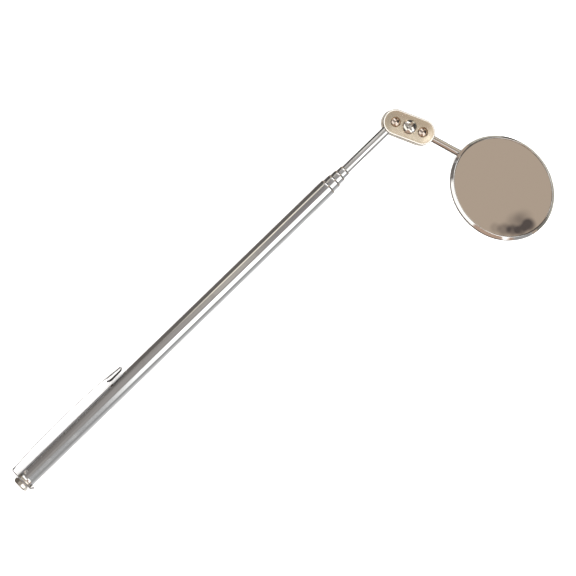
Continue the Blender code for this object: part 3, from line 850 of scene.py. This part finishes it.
def rivet(name, x, node):
    """A rivet with a domed head behind the stem and a flat one inside the cup."""
    under = -1.3
    top = under - 0.85
    inside = CUP_SHEET + 0.05
    profile = [(top, 0.0)]
    profile += [(top + 0.75 * (1 - cos(a)), RIVET_HEAD * sin(a)) for a in quarter(10)[1:]]
    profile += [(under, RIVET_HEAD), (under, RIVET_SHANK), (inside, RIVET_SHANK), (inside, 1.8)]
    profile += [(CUP_SHEET + 0.4, 1.6), (CUP_SHEET + 0.4, 0.0)]
    shape = moved(turned(profile, "Z", 64), (x, 0, CUP_BACK))
    piece(name, shape, head_frame, "mirror_head", "screw_steel", [node])


def cup_place():
    """The place of the cup's back. The cup and glass lean in their meshes, so that their boxes stay tight."""
    return Matrix.Translation(head_frame @ (Vector((CUP_ALONG, CUP_ASIDE, CUP_BACK)) * MM))


def leaning(shape):
    """A shape of the mirror head turned by the head's lean, for a piece whose own frame stays level."""
    points, faces = shape
    lean = head_frame.to_3x3()
    return [tuple(lean @ Vector(p)) for p in points], faces


def mirror_cup():
    """A drawn cup whose wall slopes in above a small round and is rolled over the edge of the glass."""
    floor_round = 0.85
    profile = [(0.0, 0.0), (0.0, CUP_RADIUS * 0.5), (0.0, CUP_RADIUS - floor_round)]
    profile += [(floor_round * (1 - cos(a)), CUP_RADIUS - floor_round * (1 - sin(a))) for a in quarter(8)[1:]]
    rim = 0.5
    slope = radians(40)
    for k in range(6):
        a = slope * k / 5
        profile.append((CUP_HEIGHT - 1.45 + rim * sin(a), CUP_RADIUS - rim * (1 - cos(a))))
    for k in range(1, 8):
        a = slope + (pi / 2 - slope) * k / 7
        profile.append((CUP_HEIGHT - rim + rim * sin(a), CUP_RADIUS - 1.44 + rim * cos(a)))
    profile += [(CUP_HEIGHT - 0.04, CUP_RADIUS - 1.56), (CUP_HEIGHT - 0.12, CUP_RADIUS - 1.64)]
    profile += [(CUP_HEIGHT - 0.24, CUP_RADIUS - 1.68), (CUP_HEIGHT - 0.34, CUP_RADIUS - 1.62)]
    profile += [(CUP_HEIGHT - 0.39, CUP_RADIUS - 1.45), (CUP_HEIGHT - 0.66, CUP_RADIUS - 1.15)]
    profile += [(CUP_HEIGHT - 1.45, CUP_RADIUS - CUP_SHEET), (0.9, CUP_RADIUS - CUP_SHEET)]
    profile += [(CUP_SHEET, CUP_RADIUS - 0.9), (CUP_SHEET, 0.0)]
    shape = leaning(turned(profile, "Z", 256))
    cup = piece("drawn_cup", shape, cup_place(), "mirror_head", "chrome_cup", ["mirror_cup"])
    hole = flared_hole(RIVET_HOLE, 0.0, CUP_SHEET, 0.06, 48)
    cut(cup, [leaning(moved(hole, (x - CUP_ALONG, -CUP_ASIDE, 0))) for x in RIVETS_AT])


def mirror_glass():
    profile = [(GLASS_BACK, 0.0), (GLASS_BACK, GLASS_RADIUS - 0.2), (GLASS_BACK + 0.2, GLASS_RADIUS)]
    profile += [(GLASS_BACK + 0.3, GLASS_RADIUS), (GLASS_FACE - 0.3, GLASS_RADIUS - 0.85)]
    profile += [(GLASS_FACE, GLASS_RADIUS - 1.15), (GLASS_FACE, GLASS_RADIUS * 0.5), (GLASS_FACE, 0.0)]
    shape = leaning(turned(profile, "Z", 256))
    piece("round_glass", shape, cup_place(), "mirror_head", "silvered_glass", ["mirror_glass"], crease=4)


# ---------------------------------------------------------------- the pieces

outer_tube()
rear_plug()
hex_screw()
pocket_clip()
section_tube("tube_two", 1, "second_stage", "second_tube")
section_tube("tube_three", 2, "third_stage", "third_tube")
section_tube("tube_four", 3, "fourth_stage", "fourth_tube")
innermost_rod()
ball("rod_end_ball", Matrix.Translation(rod_ball_at), "rod_ball", "rod_ball", -1)
ball("stem_end_ball", stem_ball_frame, "stem_ball", "stem_ball", 1)
swivel_plate("upper_plate", 1, "front_plate")
swivel_plate("lower_plate", -1, "back_plate")
tapped_boss()
tension_screw()
mirror_stem()
rivet("rivet_near", RIVETS_AT[0], "near_stem_rivet")
rivet("rivet_far", RIVETS_AT[1], "far_stem_rivet")
mirror_cup()
mirror_glass()

for part in frame["record"]["subparts"]:
    node = frame["nodes"][part["node"]]
    if not node.hide_render:
        node.data.materials.clear()
        node.data.materials.append(FINISHES[part["material_slot"]])

# ---------------------------------------------------------------- camera

CAMERA_AT = tube_rear + Vector((20.0, 91.7, 1200.0)) * MM
LOOKS_AT = tube_rear + Vector((150.82, -21.19, 0.0)) * MM
CAMERA_UP = Vector((0.6941, 0.7199, 0.0))
LENS = 160.47


def set_camera():
    back = (CAMERA_AT - LOOKS_AT).normalized()
    right = CAMERA_UP.cross(back).normalized()
    up = back.cross(right)
    data = bpy.data.cameras.new("camera")
    data.lens = LENS
    data.sensor_width = 36.0
    camera = bpy.data.objects.new("camera", data)
    bpy.context.collection.objects.link(camera)
    camera.matrix_world = Matrix.Translation(CAMERA_AT) @ Matrix((right, up, back)).transposed().to_4x4()
    bpy.context.scene.camera = camera


set_camera()

# ---------------------------------------------------------------- floor and light


FLOOR_HALF = 12000.0
FLOOR_BELOW = 0.3


def pale_paper():
    """Even paper that glows a little, so that it stays paler than the tool's own shadow."""

    def varying(recipe):
        grain = recipe.noise((0.02, 0.02, 0.02), 3.0, 0.5)
        return {"Base Color": recipe.blended(grain, colour(0.965, 0.965, 0.965), colour(0.975, 0.975, 0.972))}

    fixed = {
        "Roughness": 0.95,
        "Specular IOR Level": 0.1,
        "Emission Color": colour(1.0, 1.0, 1.0),
        "Emission Strength": 0.45,
    }
    return finish("pale_paper", fixed, varying)


def pale_floor():
    half = FLOOR_HALF * MM
    mesh = bpy.data.meshes.new("floor")
    mesh.from_pydata([(-half, -half, 0), (half, -half, 0), (half, half, 0), (-half, half, 0)], [], [(0, 1, 2, 3)])
    mesh.materials.append(pale_paper())
    floor = bpy.data.objects.new("floor", mesh)
    bpy.context.collection.objects.link(floor)
    floor.location.z = -FLOOR_BELOW * MM
    floor.visible_glossy = False


def soft_light(name, at, size, power):
    data = bpy.data.lights.new(name, "AREA")
    data.shape = "DISK"
    data.size = size
    data.energy = power
    light = bpy.data.objects.new(name, data)
    bpy.context.collection.objects.link(light)
    light.location = at
    light.rotation_euler = (Vector((0, 0, 0)) - Vector(at)).to_track_quat("-Z", "Y").to_euler()
    light.visible_glossy = False


def linear(level):
    """A screen grey, 0 to 255, as the light it stands for."""
    share = level / 255
    return share / 12.92 if share <= 0.04045 else ((share + 0.055) / 1.055) ** 2.4


# The room across the handle, as (degrees from overhead towards the mirror's side, grey seen in bright plating)
ROOM = (
    (-180, 110), (-150, 104), (-120, 98), (-98, 90), (-80, 101), (-64, 122), (-49, 143), (-35, 144), (-22, 145),
    (-9, 145), (4, 140), (17, 147), (30, 154), (43, 157), (58, 150), (73, 144), (90, 155), (110, 184), (138, 216),
    (180, 232),
)
PLATING = 0.78
GLASS = 0.92
SIGHT_SIDE = 4.4
WARM_SIDE = 10
WARMTH = (3, -1, -4)
DAYLIGHT = (1.9, 1.9, 1.88, 1.0)


def seen(r, g, b, plating=PLATING):
    """The light that plating shows as this screen colour."""
    return colour(*(linear(c) / plating for c in (r, g, b)))


def room_light():
    """Light from all round: a grey room with a window, a pale screen ahead, a warm wall and a dark far end."""
    world = bpy.data.worlds.new("room")
    bpy.context.scene.world = world
    world.use_nodes = True
    recipe = Recipe(world.node_tree)
    towards = recipe.node("ShaderNodeTexCoord").outputs["Generated"]
    parts = recipe.node("ShaderNodeSeparateXYZ", None, {0: towards})
    ahead, side, up = (Level(recipe, parts.outputs[i]) for i in range(3))
    angle = (side * -1).math("ARCTAN2", up) * degrees(1) + SIGHT_SIDE
    stops = [((a + 180) / 360, seen(*(grey + w * (a < WARM_SIDE) for w in WARMTH))[:3]) for a, grey in ROOM]
    ramp = recipe.node("ShaderNodeValToRGB", {"stops": stops}, {0: angle / 360 + 0.5})
    tone = ramp.outputs[0]

    def lay(share, shade):
        nonlocal tone
        tone = recipe.blended(share, tone, shade)

    # What the handle tube shows from its rear end to its front
    lay(ahead.between(0.035, 0.0) * angle.within(-78, -66, -30, -12) * 0.6, seen(103, 98, 95))
    lay(ahead.within(0.067, 0.088, 0.104, 0.12) * angle.within(-56, -48, -8, 2), seen(174, 169, 161))
    lay(ahead.between(0.104, 0.12) * angle.within(-56, -46, -4, 8) * 0.9, seen(122, 118, 119))
    lay(ahead.between(0.13, 0.14) * angle.within(-52, -46, -30, -18) * 0.7, seen(103, 101, 100))
    lamp = ahead.within(0.062, 0.086, 0.1475, 0.1495) * angle.within(-74, -68, -60, -54)
    lay(lamp, colour(1.25, 1.15, 0.97))

    # The collars, then the rod
    collars = ahead.within(0.1475, 0.1495, 0.1575, 0.1595)
    lay(collars * angle.between(-22, -60) * 0.95, seen(70, 68, 67))
    lay(collars * angle.within(-60, -40, 2, 10) * 0.7, seen(165, 163, 160))
    rod = ahead.within(0.1575, 0.1595, 0.22, 0.24)
    lay(rod * angle.between(-84, -98), seen(60, 58, 57))
    lay(rod * angle.within(-92, -76, -8, 4), seen(214, 212, 209))
    lay(rod * angle.within(-44, -32, -8, 4) * 0.9, seen(158, 156, 153))
    lay(rod * angle.within(48, 64, 120, 140), seen(140, 140, 141))

    # The warm wall that the glass shows, between dark corners, and the far end that the stem and the cup's rim show
    lay(ahead.between(0.24, 0.30), seen(171, 155, 140, GLASS))
    in_glass = ahead.within(0.44, 0.50, 0.82, 0.86) * angle.within(-24, -14, 6, 16)
    lay(ahead.between(0.50, 0.56) * (1 - in_glass), colour(0.055, 0.05, 0.05))
    lay(ahead.between(0.35, 0.42) * angle.between(12, 18), colour(0.07, 0.065, 0.065))
    lay(ahead.between(0.35, 0.42) * angle.between(66, 78), seen(118, 116, 110))
    cream = ahead.between(0.84, 0.88) * side.within(-0.16, -0.12, 0.18, 0.24) * up.between(-0.12, 0.02)
    lay(cream, seen(226, 218, 200))
    beside_stem = side.within(0.05, 0.09, 0.23, 0.27)
    lay(ahead.between(0.5, 0.6) * up.between(-0.22, -0.32) * (1 - beside_stem), seen(170, 168, 158))

    # Behind: a dark end, a tan patch and a pale shelf
    lay(ahead.between(-0.27, -0.34), seen(88, 80, 73))
    lay(ahead.between(-0.06, -0.16) * angle.within(8, 13, 74, 88), seen(170, 146, 130))
    shelf = ahead.within(-0.76, -0.68, -0.18, -0.13) * angle.within(-72, -64, -40, -34)
    shelf = shelf + ahead.within(-0.76, -0.68, -0.26, -0.20) * angle.within(-40, -34, 8, 14)
    lay(shelf, colour(1.35, 1.33, 1.28))

    # A screen ahead, a window beside the tool and two more behind it
    screen = ahead.within(0.27, 0.31, 0.50, 0.56) * angle.within(-68, -60, -12, -4)
    lay(screen, colour(1.9, 1.88, 1.84))
    window = ahead.within(0.02, 0.058, 0.28, 0.33) * angle.within(10, 17, 57, 68)
    behind = ahead.within(-0.19, -0.16, -0.06, -0.04) * angle.within(6, 12, 53, 66)
    below = ahead.within(-0.34, -0.28, -0.19, -0.16) * angle.within(34, 42, 60, 68)
    lay(window + behind + below, DAYLIGHT)
    lay(dark_patch(recipe, towards), colour(0.055, 0.045, 0.047))
    background = world.node_tree.nodes["Background"]
    world.node_tree.links.new(tone, background.inputs["Color"])


# The dark shape in the glass, as (millimetres to the right of its middle, down, reach of the spot, depth)
DARK_SPOTS = (
    (12.2, 18.0, 0.0035, 0.80), (8.4, 20.6, 0.0030, 0.55), (4.4, 20.6, 0.0032, 0.50), (0.2, 20.2, 0.0034, 0.50),
    (-4.0, 19.4, 0.0028, 0.25), (6.6, 17.6, 0.0060, 0.34), (9.6, 15.0, 0.0048, 0.20),
)


def dark_patch(recipe, towards):
    """The small dark shape that the glass shows below its middle, as far off as the room's walls."""
    across = CAMERA_UP.cross((CAMERA_AT - LOOKS_AT).normalized()).normalized()
    share = 0.0
    for right, down, reach, weight in DARK_SPOTS:
        at = glass_middle + (across * right - CAMERA_UP * down) * MM
        sight = (at - CAMERA_AT).normalized()
        mirrored = sight - 2 * sight.dot(mirror_normal) * mirror_normal
        far_off = recipe.level("ShaderNodeVectorMath", {"operation": "DISTANCE"}, {0: towards, 1: mirrored}, "Value")
        share = far_off.between(reach, reach * 0.3) * weight + share
    return share.math("MINIMUM", 0.9)


pale_floor()
room_light()
soft_light("soft_overhead", (-0.3, -0.5, 1.7), 1.8, 38)
soft_light("soft_side", (0.6, 0.9, 1.2), 1.4, 12)
scene = bpy.context.scene
scene.view_settings.view_transform = "Standard"
scene.view_settings.look = "None"
